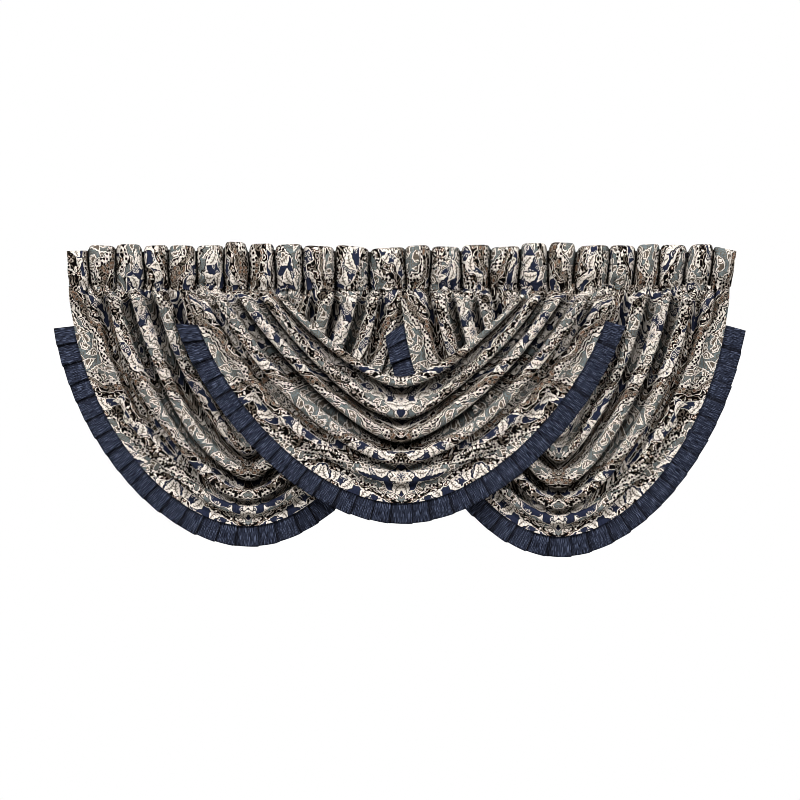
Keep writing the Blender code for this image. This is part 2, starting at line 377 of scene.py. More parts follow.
def gathers(x):
    """How far forward the gathered seam stands at x, from about -1 at a pinch to 1 on a gather."""
    share, index = puff_share(x)
    main = 2 * np.sin(math.pi * share) ** 0.7 - 1
    count = 2 + index % 2
    small = -np.cos(2 * math.pi * count * share + 0.9 * np.sin(1.7 * index) * np.sin(math.pi * share))
    return 0.7 * main + 0.55 * small


def puckers(x, from_seam):
    """The finest tucks at the seam: how far they stand forward, and how far they pull it up or down."""
    fine = np.sin(2 * math.pi * x / PUCKER_PITCH + 2.2 * np.sin(x / (21 * MM)))
    near = np.exp(-((from_seam / PUCKER_RUN) ** 2))
    pull = GATHER_PULL * gathers(x) + FINE_PULL * np.sin(x / FINE_PULL_WAVE)
    return PUCKER_DEPTH * fine * near, -pull * np.exp(-np.abs(from_seam) / PULL_RUN)


def seam_shade(tight, from_seam):
    """The shade between the gathers on both sides of the seam."""
    near = np.exp(-((from_seam / SEAM_SHADE_RUN) ** 2))
    return SEAM_SHADE * np.clip(SEAM_SHADE_LEVEL - SEAM_SHADE_GAIN * tight, 0, 1) * near


def flat_lengths(points):
    """The running length along each row of points, from its first."""
    steps = np.linalg.norm(np.diff(points, axis=1), axis=2)
    return np.concatenate([np.zeros((len(points), 1)), np.cumsum(steps, axis=1)], axis=1)


def cloth_piece(name, points, flat, thickness, finish, attributes=None):
    """A sheet of cloth from rows of points, its UV map holding each point's place on the flat cut."""
    rows, columns = points.shape[:2]
    index = np.arange(rows * columns).reshape(rows, columns)
    faces = np.stack([index[:-1, :-1], index[:-1, 1:], index[1:, 1:], index[1:, :-1]], axis=-1).reshape(-1, 4)
    mesh = bpy.data.meshes.new(name)
    mesh.from_pydata(points.reshape(-1, 3).tolist(), [], faces.tolist())
    layer = mesh.uv_layers.new(name="flat cut")
    layer.data.foreach_set("uv", flat.reshape(-1, 2)[faces.reshape(-1)].reshape(-1))
    for title, values in (attributes or {}).items():
        kind = "FLOAT_VECTOR" if values.ndim == 3 else "FLOAT"
        slot = mesh.attributes.new(title, kind, "POINT")
        slot.data.foreach_set("vector" if kind == "FLOAT_VECTOR" else "value", values.reshape(-1))
    mesh.shade_smooth()
    mesh.materials.append(finish)
    piece = bpy.data.objects.new(name, mesh)
    bpy.context.scene.collection.objects.link(piece)
    thicken(piece, thickness)
    return piece


def thicken(piece, thickness):
    if thickness:
        wall = piece.modifiers.new("cloth thickness", "SOLIDIFY")
        wall.thickness = thickness
        wall.offset = 0.0


def section_rows(folds):
    """The sheet's rows from lip to hem: place when folded, place when flat, stand, and the crest's fold."""
    controls = [(lip.rolled, lip.flat, lip.stand, 0) for lip in LIP]
    for index in range(len(folds) - 1):
        controls += [(index + turn.across, index + turn.across, turn.stand, index) for turn in FALL]
        controls += [(index + turn.across, index + turn.across, turn.stand, index + 1) for turn in RISE]
    last = len(folds) - 1
    controls.append((last, last, 1.0, last))
    controls = np.array(controls)
    places = np.arange((len(controls) - 1) * ROWS_PER_TURN + 1) / ROWS_PER_TURN
    rolled, flat, stand = (spline(controls[:, k], places) for k in range(3))
    rolled[-1] = flat[-1] = last
    turn_of_row = np.floor(places).astype(int)
    crest = controls[np.minimum(turn_of_row + 1, len(controls) - 1), 3].astype(int)
    hollow_fold = np.clip(np.floor(rolled).astype(int), 0, last - 1)
    return rolled, flat, stand, crest, hollow_fold


def hang_of(values, reach, drop, t):
    """Where folds hang, from their swag's middle and the seam. t runs from the heading to the middle."""
    out, fall, shoulder_out, shoulder_drop, belly = (values[..., k] for k in range(5))
    first, second, third = 3 * t * (1 - t) ** 2, 3 * t**2 * (1 - t), t**3
    across = out * reach * ((1 - t) ** 3 + shoulder_out * first + belly * second) * MM
    down = fall * drop * (shoulder_drop * first + second + third) * MM
    return across, down


def creased(swag, side, place, t):
    """How far the creases lift the cloth towards the room, in metres."""
    lift = np.zeros(place.shape)
    for crease in swag.creases:
        if crease.side != side:
            continue
        share = (t - crease.from_t) / (crease.to_t - crease.from_t)
        line = mix(crease.start, crease.end, np.clip(share, 0, 1))
        fade = smooth_step(share * 4) * smooth_step((1 - share) * 2)
        lift += crease.height * MM * fade * np.exp(-(((place - line) / crease.half_width) ** 2))
    return lift


def swag_arm(swag, side, t):
    """One arm of a swag, rows from lip to hem and columns from heading to middle."""
    rolled, flat, stand, crest, hollow_fold = section_rows(swag.folds)
    reach = swag.left_reach if side < 0 else swag.right_reach
    table = np.array(swag.folds)
    rolled, flat, stand = rolled[:, None], flat[:, None], stand[:, None]
    last = len(swag.folds) - 1
    sway = ripple(rolled, t[None, :], (2.6, 0.8), swag.seed + side, 5)
    sway *= SWAY * np.sin(math.pi * t) * np.clip(last - rolled, 0, 1) * np.clip(rolled + 0.4, 0, 1)
    trial = hang_of(spline(table, rolled + sway), reach, swag.drop, t)[1]
    place = mix(flat, rolled + sway, smooth_step(trial / FOLD_RUN))
    across, down = hang_of(spline(table, place), reach, swag.drop, t)
    middle = smooth_step(t)[None, :]
    hollow = mix(table[hollow_fold, 7][:, None], table[hollow_fold, 8][:, None], middle)
    crests = mix(table[crest, 5][:, None], table[crest, 6][:, None], middle)
    uneven = 1 + UNEVENNESS * ripple(rolled, t[None, :], (1.7, 0.6), swag.seed + 5 * side + 40, 5)
    x = swag.middle_x * MM + side * across
    open_arm = 1.0 if swag.side == "centre" else smooth_step((np.abs(x) - OPEN_FROM_X) / OPEN_RUN)
    gain = mix(CREST_GAIN, OPEN_GAIN if swag.side != "centre" else CENTRE_GAIN, open_arm)
    forward = mix(hollow - HOLLOW_SINK, crests * gain, stand * uneven) * smooth_step(down / FOLD_RUN) * MM
    forward += creased(swag, side, place, t[None, :]) * smooth_step((down / MM - CREASE_FROM) / CREASE_RUN)
    near = down / SEAM_PUFF_AT
    heading_x = swag.middle_x * MM + side * spline(table[:, 0], place) * reach * MM
    tight = mix(gathers(x), gathers(heading_x), smooth_step(down / GATHER_TURN))
    forward += SEAM_PUFF * near * np.exp(1 - near) * (1 + 0.35 * tight)
    forward += GATHER_DEPTH * (tight + 0.7) * np.exp(-down / GATHER_RUN)
    foremost = smooth_step((np.abs(heading_x) - CENTRE_END_X) / CENTRE_END_RUN)
    seam_layer = mix(swag.seam_layer, -1, foremost)
    layer = mix(seam_layer * LAYER_STEP, swag.layer_y * MM, smooth_step(down / LAYER_RUN))
    pucker, pull = puckers(heading_x, down)
    x = x + side * SEAM_SPREAD * np.exp(-down / GATHER_RUN) * smooth_step(rolled / last)
    # Painted shade for the colour: darkest in the hollow under each crest, fading up the rise, and between
    # the gathers at the seam
    beyond = (rolled - hollow_fold[:, None] - RISE_SHADE_FROM) / (RISE_SHADE_TO - RISE_SHADE_FROM)
    painted_shade = np.clip((crests - hollow) * (1 - stand) / DEEP_FOLD, 0, 1) * smooth_step(down / FOLD_RUN)
    painted_shade = np.maximum(painted_shade * mix(1, RISE_SHADE, smooth_step(beyond)), seam_shade(tight, down))
    z = SEAM_Z - down + pull
    return np.stack([x, layer - forward - pucker, z, np.broadcast_to(painted_shade, x.shape)], axis=-1)


def swag_points(swag):
    """A swag's whole sheet, each row from its left tab in the pocket round to its right one."""
    t = (np.arange(ARM_STEPS + 1) / ARM_STEPS) ** STEP_SPREAD
    left, right = (swag_arm(swag, side, t) for side in (-1, 1))
    sheet = np.concatenate([left, right[:, -2::-1]], axis=1)
    middle = (left[:, -1] + right[:, -1]) / 2
    sheet[:, ARM_STEPS] = middle
    full, half = (np.array([0, 0, rise, 0]) for rise in (TAB_RISE, TAB_RISE / 2))
    start, end = sheet[:, [0]], sheet[:, [-1]]
    return np.concatenate([start + full, start + half, sheet, end + half, end + full], axis=1)


def crumple(points, flat, up, seed):
    """Fine crumple along the folds, as crisp jacquard has; it fades out at the seam and the hem."""
    down = np.clip((SEAM_Z - points[..., 2]) / (30 * MM), 0, 1)
    free = np.clip(up / (25 * MM), 0.25, 1)
    along, across = flat[..., 0], flat[..., 1]
    lift = 0.7 * MM * ripple(along, across, (0.11, 0.026), seed)
    lift += 0.45 * MM * ripple(along, across, (0.04, 0.013), seed + 1)
    lift += 0.9 * MM * ripple(along, across, (0.16, 0.07), seed + 2)
    points[..., 1] -= lift * down * free
    return points


def tilted(run, up):
    """Where a fold's cloth lies on the flat cut: level at the middle, and rising towards both shoulders."""
    along = np.linspace(0, 1, 201)
    slope = math.radians(FOLD_TILT) * smooth_step(along / FOLD_TILT_RUN)
    step = along[1]
    level = np.concatenate([[0.0], np.cumsum(np.cos(slope[1:]))]) * step
    risen = np.concatenate([[0.0], np.cumsum(np.sin(slope[1:]))]) * step
    far = np.abs(run)
    here = np.interp(far, along, slope)
    across = np.interp(far, along, level) - np.sin(here) * up
    return np.stack([np.sign(run) * across, np.interp(far, along, risen) + np.cos(here) * up], axis=-1)


def flat_of(points, folds):
    """Each point's place on the flat cut: along its fold from the middle, and up from the hem.

    Each fold lies flat and unstretched round its own crest, and the last one above the hem on down to it.
    What is left over goes into the hollows.
    """
    run = flat_lengths(points)
    middle = run.shape[1] // 2
    run = run - run[:, [middle]]
    way = np.gradient(points, axis=1)
    way = way[1:] / np.linalg.norm(way[1:], axis=2, keepdims=True)
    steps = np.diff(points, axis=0)
    along = np.sum(steps * way, axis=2, keepdims=True)
    square_on = np.linalg.norm(steps - along * way, axis=2)
    first = np.zeros((1, points.shape[1]))
    slid = np.concatenate([first, np.cumsum(along[..., 0], axis=0)])
    down = np.concatenate([first, np.cumsum(square_on, axis=0)])
    flats = []
    for index in range(len(folds)):
        crest = (len(LIP) + index * (len(FALL) + len(RISE))) * ROWS_PER_TURN
        rise = down[-1, middle] - down[crest, middle]
        flats.append(tilted(run[crest] + slid - slid[crest], down[crest] - down) + np.array([0, rise]))
    rolled = section_rows(folds)[0]
    upper = np.clip(np.floor(rolled).astype(int), 0, len(folds) - 2)
    share = smooth_step((rolled - upper - FALL[-1].across) / (RISE[0].across - FALL[-1].across))
    share[upper == len(folds) - 2] = 0
    rows = np.arange(len(rolled))
    flats = np.array(flats)
    return mix(flats[upper, rows], flats[upper + 1, rows], share[:, None, None]), down[-1] - down


def make_swag(swag, finish):
    points, painted_shade = np.split(swag_points(swag), [3], axis=-1)
    flat, up = flat_of(points, swag.folds)
    points = crumple(points, flat, up, swag.seed)
    name = f"swag_{swag.side}_cloth"
    # The painted fold shade goes along as a point attribute for the cloth's colour
    return points, cloth_piece(name, points, flat, SWAG_CLOTH, finish, {"painted_shade": painted_shade[..., 0]})


def make_pocket(finish):
    """The gathered pocket: rounded puffs with deep pinches, drawn into small tucks where it is sewn."""
    shares = (1 - np.cos(np.linspace(0, math.pi, PUFF_STEPS + 1)[:-1])) / 2
    x = np.concatenate([PINCH_X[i] + shares * (PINCH_X[i + 1] - PINCH_X[i]) for i in range(len(PUFFS))])
    x = np.append(x, PINCH_X[-1])
    share, index = puff_share(x)
    share[-1] = 1.0
    widths, gaps = (np.array([getattr(puff, part) for puff in PUFFS]) for part in ("width", "gap"))
    gap = mix(np.roll(gaps, 1)[index], gaps[index], share)
    off_middle = np.abs(2 * share - 1)
    open_end = ((index == 0) & (share < 0.5)) | ((index == len(PUFFS) - 1) & (share > 0.5))
    off_middle = np.where(open_end, np.minimum(off_middle, OPEN_END_AT), off_middle)
    clear = np.clip(off_middle / (1 - NOTCH_WIDTH * gap / widths[index]), 0, 1)
    swell = (1 - clear**PUFF_SQUARENESS) ** 0.6
    rise, slant, feet = (
        np.array([getattr(puff, part) for puff in PUFFS])[index] * MM for part in ("rise", "slant", "foot")
    )
    rise = rise + slant * (share - 0.5)
    walls = POCKET_FRONT + POCKET_FRONT[::-1]
    count = len(walls)
    places = np.arange((count - 1) * WALL_STEPS + 1) / WALL_STEPS
    back = np.array([-1] * len(POCKET_FRONT) + [1] * len(POCKET_FRONT))
    depth = np.array([WALL_AT_SEAM if w.depth is None else w.depth * POCKET_HALF_DEPTH for w in walls]) * back
    bulge = np.array([w.swell for w in walls]) * back * PUFF_SWELL
    z, bulge = spline([w.z * MM for w in walls], places)[:, None], spline(bulge, places)[:, None]
    waist = WAIST_ROW * WALL_STEPS + 1
    sunk = z - feet * np.clip((z[waist - 1] - z) / FOOT_RUN, 0, 1)
    footed = np.interp(sunk, z[:waist, 0], np.abs(bulge[:waist, 0])) * np.sign(bulge)
    y = spline(depth, places)[:, None] + np.where(z < z[waist - 1], footed, bulge) * swell
    square = mix(1 - gap / DEEPEST_NOTCH, 1, (1 - clear**7) ** 0.5)
    z = z + spline([w.rise for w in walls], places)[:, None] * square * rise
    low = np.clip((-sunk - GATHERS_FROM) / GATHERS_RUN, 0, 1)
    side = np.sign(y)
    tucks = ripple(x[None, :], z * 0.4, (0.014, 0.03), 71, 6)
    y = y + side * tucks * TUCK_DEPTH * np.sin(math.pi * low) ** 2
    y = y + side * PUFF_CRUMPLE * ripple(x[None, :], z, (0.022, 0.07), 72) * swell * (1 - 0.6 * low)
    y = y + side * GATHER_DEPTH * (gathers(x)[None, :] + 0.7) * smooth_step(low)
    pucker, pull = puckers(x[None, :], z + POCKET_HEIGHT)
    y = y + side * pucker * smooth_step(low)
    z = z + pull
    wide = x[None, :] + (1 - low) * swell * PUFF_STRAY * ripple(x[None, :], z, (0.09, 0.05), 73)
    inside = smooth_step(np.minimum(x - x[0], x[-1] - x) / (40 * MM))
    wide = wide + (1 - low) * inside * PINCH_WANDER * ripple(x[None, :], z, (0.13, 0.16), 74)
    middle_x = (PINCH_X[0] + PINCH_X[-1]) / 2
    lean = np.interp(x[None, :], [x[0], middle_x, x[-1]], [-POCKET_LEANS[0], 0, POCKET_LEANS[1]])
    points = np.stack([wide + lean * z / POCKET_HEIGHT, y, np.broadcast_to(z, y.shape)], axis=-1)
    middle = count * WALL_STEPS // 4
    run = flat_lengths(points[[middle]])[0] + PINCHED_CLOTH * (index + smooth_step(share - 0.5))
    up = flat_lengths(points.transpose(1, 0, 2)[[len(x) // 2]])[0]
    flat = np.stack(np.broadcast_arrays(up[:, None] + 0.02, run[None, :] - run[len(x) // 2] + 2.0), axis=-1)
    # Painted shade in the pinches between the puffs and between the gathers at the seam
    painted_shade = np.maximum((1 - swell) ** 0.8, seam_shade(gathers(x)[None, :], z + POCKET_HEIGHT))
    return cloth_piece("rod_pocket_cloth", points, flat, SWAG_CLOTH, finish, {"painted_shade": painted_shade})


def at_runs(points, run, along):
    return np.stack([np.interp(along, run, points[:, k]) for k in range(3)], axis=-1)


def softened(values, reach):
    """A running mean along the rows, so that a direction turns smoothly."""
    weights = np.ones(2 * reach + 1) / (2 * reach + 1)
    padded = np.concatenate([np.repeat(values[:1], reach, 0), values, np.repeat(values[-1:], reach, 0)])
    return np.stack([np.convolve(padded[:, k], weights, "valid") for k in range(values.shape[1])], axis=-1)


def ruffle_strip(swag, sheet, finish):
    """The flat strip behind the hem, with the directions that the pleats need."""
    edge, inside = sheet[-1], sheet[-1 - ROWS_PER_TURN]
    start, end = RUFFLE_ENDS[swag.side]
    first = np.argmax(edge[:, 2] <= SEAM_Z - start.drop * MM)
    last = np.argmax(edge[::-1, 2] <= SEAM_Z - end.drop * MM)
    edge, inside = edge[first: len(edge) - last], inside[first: len(inside) - last]
    run = flat_lengths(edge[None])[0]
    along = np.linspace(0, run[-1], int(run[-1] / RUFFLE_STEP))
    edge, inside = at_runs(edge, run, along), at_runs(inside, run, along)
    way = np.gradient(softened(edge, 5), axis=0)
    way /= np.linalg.norm(way, axis=1, keepdims=True)
    outward = np.stack([way[:, 2], np.zeros(len(way)), -way[:, 0]], axis=-1)
    outward /= np.linalg.norm(outward, axis=1, keepdims=True)
    inward = softened(inside - edge, 5)
    inward /= np.linalg.norm(inward, axis=1, keepdims=True)
    behind = np.array([0, (SWAG_CLOTH + RUFFLE_CLOTH) / 2 + RUFFLE_BEHIND, 0])
    base = softened(edge, 2) + behind
    across = np.linspace(-RUFFLE_SEWN, RUFFLE_WIDTH, RUFFLE_ROWS)
    slant = end.slant * np.exp((along - run[-1]) / END_RUN) - start.slant * np.exp(-along / END_RUN)
    slanted = outward + way * slant[:, None] * MM / RUFFLE_WIDTH
    points = np.array([base + (slanted if reach > 0 else -inward) * reach for reach in across])
    shape = points.shape[:2]
    share = np.repeat(((across + RUFFLE_SEWN) / (RUFFLE_WIDTH + RUFFLE_SEWN))[:, None], shape[1], axis=1)
    flat = np.stack(np.broadcast_arrays(along[None, :] * PLEAT_FULLNESS, across[:, None]), axis=-1)
    attributes = {
        "along": np.repeat(along[None, :], shape[0], axis=0),
        "share": share,
        "way": np.repeat(way[None], shape[0], axis=0),
        "outward": np.repeat(outward[None], shape[0], axis=0),
    }
    return cloth_piece(f"ruffle_{swag.side}_pleats", points, flat, 0, finish, attributes)


class Loom:
    """Adds nodes to one tree and hands back what they put out."""

    def __init__(self, tree):
        self.tree = tree

    def wire(self, socket, value):
        if isinstance(value, bpy.types.NodeSocket):
            self.tree.links.new(value, socket)
        else:
            socket.default_value = value

    def add(self, kind, wired=None, **settings):
        node = self.tree.nodes.new(kind)
        for name, value in settings.items():
            setattr(node, name, value)
        for socket, value in (wired or {}).items():
            self.wire(node.inputs[socket], value)
        return node

    def maths(self, operation, *values):
        return self.add("ShaderNodeMath", dict(enumerate(values)), operation=operation).outputs[0]

    def plus(self, *values):
        total = values[0]
        for value in values[1:]:
            total = self.maths("ADD", total, value)
        return total

    def times(self, *values):
        total = values[0]
        for value in values[1:]:
            total = self.maths("MULTIPLY", total, value)
        return total

    def rises(self, value, start, end):
        """0 up to start, 1 from end, and even between them."""
        wired = {"Value": value, "From Min": start, "From Max": end}
        return self.add("ShaderNodeMapRange", wired).outputs["Result"]

    def band(self, value, low, high, soft):
        """1 between low and high, with soft edges."""
        up = self.rises(value, low - soft, low + soft)
        return self.times(up, self.rises(value, high + soft, high - soft))

    def vector(self, operation, *values):
        return self.add("ShaderNodeVectorMath", dict(enumerate(values)), operation=operation)

    def parts(self, vector):
        node = self.add("ShaderNodeSeparateXYZ", {0: vector})
        return node.outputs[0], node.outputs[1]

    def point(self, x, y):
        return self.add("ShaderNodeCombineXYZ", {0: x, 1: y}).outputs[0]

    def over(self, mask, under, colour):
        """Lays a colour over another where the mask is 1."""
        node = self.add("ShaderNodeMix", data_type="RGBA")
        for index, value in ((0, mask), (6, under), (7, colour)):
            self.wire(node.inputs[index], linear(value) if isinstance(value, str) else value)
        return node.outputs[2]

    def noise(self, vector, scale, detail=1.0, **settings):
        wired = {"Vector": vector, "Scale": scale, "Detail": detail}
        return self.add("ShaderNodeTexNoise", wired, noise_dimensions="2D", **settings).outputs["Fac"]

    def cells(self, vector, scale, randomness, feature="F1"):
        wired = {"Vector": vector, "Scale": scale, "Randomness": randomness}
        return self.add("ShaderNodeTexVoronoi", wired, voronoi_dimensions="2D", feature=feature)

    def group(self, tree, **wired):
        node = self.add("ShaderNodeGroup", node_tree=tree)
        for title, value in wired.items():
            self.wire(node.inputs[title.replace("_", " ")], value)
        return node


def new_group(title, inputs, outputs):
    """An empty shader node group with named sockets, its loom, and where its inputs and outputs are."""
    tree = bpy.data.node_groups.new(title, "ShaderNodeTree")
    kinds = {"value": "NodeSocketFloat", "vector": "NodeSocketVector", "colour": "NodeSocketColor"}
    for name, (kind, value) in inputs.items():
        socket = tree.interface.new_socket(name, in_out="INPUT", socket_type=kinds[kind])
        if value is not None:
            socket.default_value = value
    for name, kind in outputs.items():
        tree.interface.new_socket(name, in_out="OUTPUT", socket_type=kinds[kind])
    loom = Loom(tree)
    entry = tree.nodes.new("NodeGroupInput").outputs
    leave = tree.nodes.new("NodeGroupOutput").inputs
    return tree, loom, entry, leave


def motif_group():
    """Scattered motifs, each turned its own way: curved leaves with a vein, curls, and round flowers."""
    inputs = {"Place": ("vector", None)}
    inputs.update({"Count": ("value", 30.0), "Scatter": ("value", 0.8), "Size": ("value", 1.0)})
    outputs = {"Leaf": "value", "Vein": "value", "Curl": "value", "Flower": "value", "Chance": "value"}
    tree, loom, entry, leave = new_group("scattered motifs", inputs, outputs)
    cells = loom.cells(entry["Place"], entry["Count"], entry["Scatter"])
    offset = loom.vector("SUBTRACT", entry["Place"], cells.outputs["Position"]).outputs[0]
    unit = loom.vector("SCALE", offset)
    loom.wire(unit.inputs["Scale"], loom.maths("DIVIDE", entry["Count"], entry["Size"]))
    chance = loom.add("ShaderNodeSeparateColor", {0: cells.outputs["Color"]}).outputs
    turned = loom.add("ShaderNodeVectorRotate", {"Vector": unit.outputs[0]}, rotation_type="Z_AXIS")
    loom.wire(turned.inputs["Angle"], loom.times(chance[0], 2 * math.pi))
    x, y = loom.parts(turned.outputs[0])
    square = loom.times(x, x)
    bent = loom.plus(y, loom.times(square, 1.1), -0.09)
    body = loom.maths("DIVIDE", loom.maths("ABSOLUTE", bent), 0.30)
    lobes = loom.times(loom.maths("ABSOLUTE", loom.maths("SINE", loom.times(x, 13.0))), 0.16)
    leaf = loom.maths("SUBTRACT", 1.08, loom.plus(body, loom.times(square, 3.4), lobes))
    loom.wire(leave["Leaf"], leaf)
    vein = loom.band(bent, -0.035, 0.035, 0.03)
    ribs = loom.maths("SINE", loom.times(loom.plus(x, loom.times(body, 0.12)), 42.0))
    loom.wire(leave["Vein"], loom.maths("MAXIMUM", vein, loom.rises(ribs, 0.55, 0.85)))
    radius = loom.vector("LENGTH", turned.outputs[0]).outputs["Value"]
    angle = loom.maths("ARCTAN2", y, x)
    winding = loom.plus(loom.times(radius, 3.4), loom.maths("DIVIDE", angle, 2 * math.pi))
    turn = loom.maths("FRACT", loom.plus(winding, 2.0))
    loom.wire(leave["Curl"], loom.times(loom.band(turn, 0.30, 0.70, 0.08), loom.rises(radius, 0.50, 0.42)))
    petals = loom.plus(0.30, loom.times(loom.maths("COSINE", loom.times(angle, 6.0)), 0.09))
    loom.wire(leave["Flower"], loom.maths("SUBTRACT", 1.0, loom.maths("DIVIDE", radius, petals)))
    loom.wire(leave["Chance"], chance[1])
    return tree


def ground_group():
    """The fillings: squiggled vermicelli lines and a dotted lattice."""
    outputs = {"Squiggle": "value", "Dots": "value"}
    tree, loom, entry, leave = new_group("woven fillings", {"Place": ("vector", None)}, outputs)
    swirl = loom.noise(entry["Place"], 64.0)
    lines = loom.maths("SINE", loom.times(swirl, 31.0))
    loom.wire(leave["Squiggle"], loom.rises(lines, 0.12, 0.32))
    dots = loom.cells(entry["Place"], 150.0, 0.45).outputs["Distance"]
    loom.wire(leave["Dots"], loom.rises(dots, 0.36, 0.29))
    return tree


def weave_group():
    """The weave itself: crossing ribs of yarn, and the slubs along them."""
    inputs = {"Place": ("vector", None), "Ends": ("value", 900.0), "Picks": ("value", 620.0)}
    outputs = {"Rib": "value", "Slub": "value"}
    tree, loom, entry, leave = new_group("weave ribs", inputs, outputs)
    x, y = loom.parts(entry["Place"])
    warp = loom.maths("SINE", loom.times(x, entry["Ends"], 2 * math.pi))
    weft = loom.maths("SINE", loom.times(y, entry["Picks"], 2 * math.pi))
    loom.wire(leave["Rib"], loom.plus(0.5, loom.times(warp, 0.2), loom.times(weft, 0.3)))
    loom.wire(leave["Slub"], loom.noise(loom.point(loom.times(x, 520.0), loom.times(y, 90.0)), 1.0, 2.0))
    return tree


# The design's repeat, how far up the hem its first row lies, and half the size of a medallion's rosette
REPEAT_WIDTH = 0.29
REPEAT_HEIGHT = 0.23
FIRST_ROW_UP = 0.058
ROSETTE = 0.017


def design_group(motifs, fillings):
    """The woven design: navy and slate medallions in mirrored rows, ringed by filled bands."""
    outputs = {"Colour": "colour", "Raised": "value"}
    tree, loom, entry, leave = new_group("woven design", {"Place": ("vector", None)}, outputs)
    u, v = loom.parts(entry["Place"])
    across = loom.maths("PINGPONG", u, REPEAT_WIDTH / 2)
    up = loom.plus(v, REPEAT_HEIGHT - FIRST_ROW_UP)
    mirrored = loom.point(across, v)
    ridges = loom.maths("PINGPONG", up, REPEAT_HEIGHT / 2)
    waver = loom.maths("SUBTRACT", loom.noise(mirrored, 17.0, 1.0), 0.5)
    ruffled = loom.maths("SUBTRACT", loom.noise(mirrored, 75.0, 1.0), 0.5)
    wide = loom.rises(across, REPEAT_WIDTH / 2, 0.0)
    high = loom.rises(ridges, REPEAT_HEIGHT / 2, 0.0)
    level = loom.plus(loom.times(wide, 0.7), loom.times(high, 1.3), -1.0)
    level = loom.plus(level, loom.times(waver, 0.6), loom.times(ruffled, 0.12))
    leaves = loom.group(motifs, Place=mirrored, Count=38.0, Scatter=0.75, Size=1.28).outputs
    paisleys = loom.group(motifs, Place=mirrored, Count=48.0, Scatter=0.8, Size=1.3).outputs
    small = loom.group(motifs, Place=mirrored, Count=115.0, Scatter=0.9, Size=1.25).outputs
    fill = loom.group(fillings, Place=mirrored).outputs

    def some(low):
        """1 for the motifs above a share of chance."""
        return loom.rises(small["Chance"], low, low + 0.02)

    threads = loom.over(some(0.48), loom.over(some(0.22), "drab", "taupe"), "cream")
    squiggles = loom.over(fill["Squiggle"], "black", threads)
    for low, colour in ((0.0, "black"), (0.2, "rust"), (0.6, "cream")):
        flower = loom.times(some(0.66), loom.rises(small["Flower"], low, low + 0.1))
        squiggles = loom.over(flower, squiggles, colour)
    brown = loom.over(fill["Squiggle"], "black", "drab")
    brown = loom.over(small["Curl"], brown, "taupe")
    brown = loom.over(loom.times(some(0.5), loom.rises(small["Flower"], 0.2, 0.3)), brown, "rust")

    dotted = loom.over(loom.times(fill["Squiggle"], 0.5), "cream", "drab")
    dotted = loom.over(fill["Dots"], dotted, "black")

    navy = loom.over(loom.rises(leaves["Leaf"], -0.05, 0.05), "navy", "black")
    navy = loom.over(loom.rises(leaves["Leaf"], 0.1, 0.18), navy, "cream")
    navy = loom.over(loom.times(leaves["Vein"], loom.rises(leaves["Leaf"], 0.45, 0.55)), navy, "drab")
    curls = loom.times(loom.rises(leaves["Leaf"], 0.0, -0.1), some(0.55), small["Curl"])
    navy = loom.over(curls, navy, "cream")
    middle_off = loom.maths("SQRT", loom.plus(loom.times(across, across), loom.times(ridges, ridges)))
    angle = loom.maths("ARCTAN2", ridges, across)
    petals = loom.times(loom.maths("COSINE", loom.times(angle, 8.0)), 0.22)
    rosette = loom.plus(loom.maths("DIVIDE", middle_off, ROSETTE), petals)
    for edge, colour in ((1.15, "black"), (1.0, "cream"), (0.62, "rust"), (0.50, "cream"), (0.30, "navy")):
        navy = loom.over(loom.rises(rosette, edge + 0.05, edge - 0.05), navy, colour)

    slate = loom.over(loom.rises(paisleys["Leaf"], -0.04, 0.04), "slate", "black")
    slate = loom.over(loom.rises(paisleys["Leaf"], 0.08, 0.14), slate, "cream")
    slate = loom.over(loom.rises(paisleys["Leaf"], 0.34, 0.4), slate, "drab")
    inside = loom.rises(paisleys["Leaf"], 0.46, 0.52)
    slate = loom.over(loom.times(inside, fill["Squiggle"]), slate, "cream")
    slate = loom.over(loom.times(loom.rises(paisleys["Leaf"], 0.0, -0.08), small["Curl"]), slate, "drab")

    colour = slate
    for edge, laid in ((-0.50, "black"), (-0.485, "cream"), (-0.468, "black"), (-0.45, dotted),
                       (-0.35, "black"), (-0.335, brown), (-0.21, "cream"), (-0.195, "black"),
                       (-0.18, squiggles), (-0.07, "black"), (-0.055, "cream"), (-0.038, navy),
                       (0.18, "cream"), (0.195, "black"), (0.21, squiggles), (0.32, "black"),
                       (0.335, dotted), (0.40, "black"), (0.415, slate), (0.54, "black"), (0.555, "cream"),
                       (0.572, navy)):
        colour = loom.over(loom.rises(level, edge - 0.004, edge + 0.004), colour, laid)
    loom.wire(leave["Colour"], colour)
    loom.wire(leave["Raised"], loom.add("ShaderNodeRGBToBW", {0: colour}).outputs[0])
    return tree


def new_finish(title, roughness, sheen):
    """A cloth material with an empty slot for colour and bump, and the loom of its tree."""
    finish = bpy.data.materials.new(title)
    finish.use_nodes = True
    shader = finish.node_tree.nodes["Principled BSDF"]
    shader.inputs["Roughness"].default_value = roughness
    shader.inputs["Sheen Weight"].default_value = sheen
    shader.inputs["Sheen Roughness"].default_value = 0.5
    shader.inputs["Specular IOR Level"].default_value = 0.03
    loom = Loom(finish.node_tree)
    place = loom.add("ShaderNodeUVMap", uv_map="flat cut").outputs[0]
    return finish, loom, shader, place


